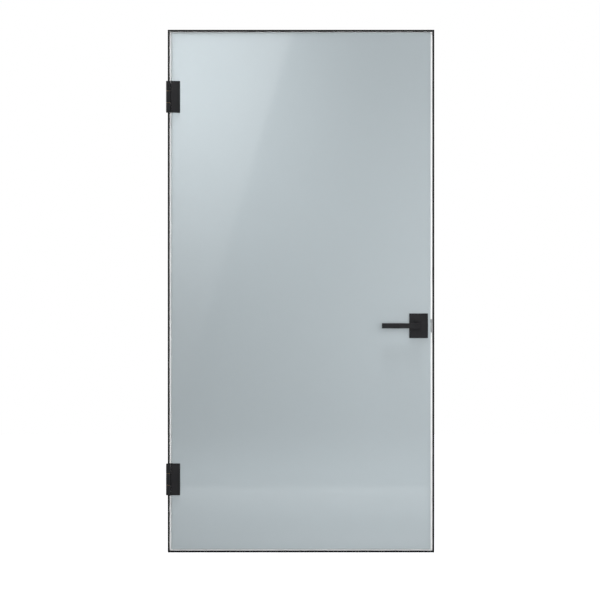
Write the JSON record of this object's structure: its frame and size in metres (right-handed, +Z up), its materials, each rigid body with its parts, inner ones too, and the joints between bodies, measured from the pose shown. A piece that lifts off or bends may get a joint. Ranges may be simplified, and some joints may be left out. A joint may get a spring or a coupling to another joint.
{
  "type": "framed glass door",
  "caption": "Single frameless glass leaf on clamp hinges in a slim rebated metal frame, with a lever handle, spring latch, strike and lip seal.",
  "frame": {"origin": "middle of the sill's underside, half way through the frame's depth, on the floor", "axes": "+X along the wall towards the latch side, +Y through the wall away from the side that the leaf opens to, +Z up"},
  "size_m": [1.0465, 0.13, 2.04],
  "materials": {
    "frame_powder_coat": "fine-textured matt black powder coat on aluminium",
    "hardware_powder_coat": "smooth satin black coat on cast zinc",
    "steel": "plain satin stainless steel",
    "seal_white": "soft white silicone",
    "glass": "satin-etched back with a polished front, grey-blue",
    "gasket_black": "black fibre-filled rubber",
    "sleeve_plastic": "clear-white nylon",
    "bush_plastic": "black acetal",
    "bush_bronze": "oiled bearing bronze"
  },
  "bodies": {
    "frame": {"left_jamb": "frame_powder_coat", "right_jamb": "frame_powder_coat", "head_rail": "frame_powder_coat", "sill_rail": "frame_powder_coat", "corner_screws": "steel", "fixing_hole_caps": "frame_powder_coat", "left_seal": "seal_white", "right_seal": "seal_white", "top_seal": "seal_white", "bottom_seal": "seal_white", "upper_hinge_frame_part": "hardware_powder_coat", "lower_hinge_frame_part": "hardware_powder_coat", "upper_hinge_pin": "steel", "lower_hinge_pin": "steel", "hinge_end_caps": "hardware_powder_coat", "hinge_jamb_screws": "steel", "strike_plate": "steel", "strike_screws": "steel"},
    "leaf": {"glass_pane": "glass", "upper_hinge_front_clamp": "hardware_powder_coat", "lower_hinge_front_clamp": "hardware_powder_coat", "upper_hinge_back_clamp": "hardware_powder_coat", "lower_hinge_back_clamp": "hardware_powder_coat", "hinge_front_gaskets": "gasket_black", "hinge_back_gaskets": "gasket_black", "hinge_clamp_screws": "steel", "hinge_glass_sleeves": "sleeve_plastic", "hinge_bushes": "bush_bronze", "lock_front_plate": "hardware_powder_coat", "lock_front_gasket": "gasket_black", "lock_back_gasket": "gasket_black", "lock_case": "hardware_powder_coat", "lock_cover": "hardware_powder_coat", "lock_case_screws": "steel", "lock_cover_screws": "hardware_powder_coat", "latch_faceplate": "steel", "faceplate_screws": "steel", "front_lever_bush": "bush_plastic", "back_lever_bush": "bush_plastic", "lever_spring": "steel", "latch_spring": "steel"},
    "lever": {"front_lever": "hardware_powder_coat", "back_lever": "hardware_powder_coat", "spindle": "steel", "follower": "steel", "lever_grub_screws": "steel"},
    "latch": {"latch_bolt": "steel"}
  },
  "joints": [
    {"name": "leaf_swing", "type": "hinge", "parent": "frame", "child": "leaf", "pos_m": [-0.5175, -0.0395, 1.02], "axis": [0, 0, -1], "range_deg": [0, 170]},
    {"name": "lever_turn", "type": "hinge", "parent": "leaf", "child": "lever", "pos_m": [0.454, -0.024, 0.885], "axis": [0, -1, 0], "range_deg": [0, 40], "stiffness_Nm_per_rad": 1.2, "springref_deg": -28.65, "deforming": ["lever_spring"]},
    {"name": "latch_slide", "type": "slide", "parent": "leaf", "child": "latch", "axis": [-1, 0, 0], "range_m": [0, 0.0081], "deforming": ["latch_spring"]}
  ],
  "couplings": [
    {"joint": "latch_slide", "follows": "lever_turn", "m_per_rad": 0.011459}
  ]
}
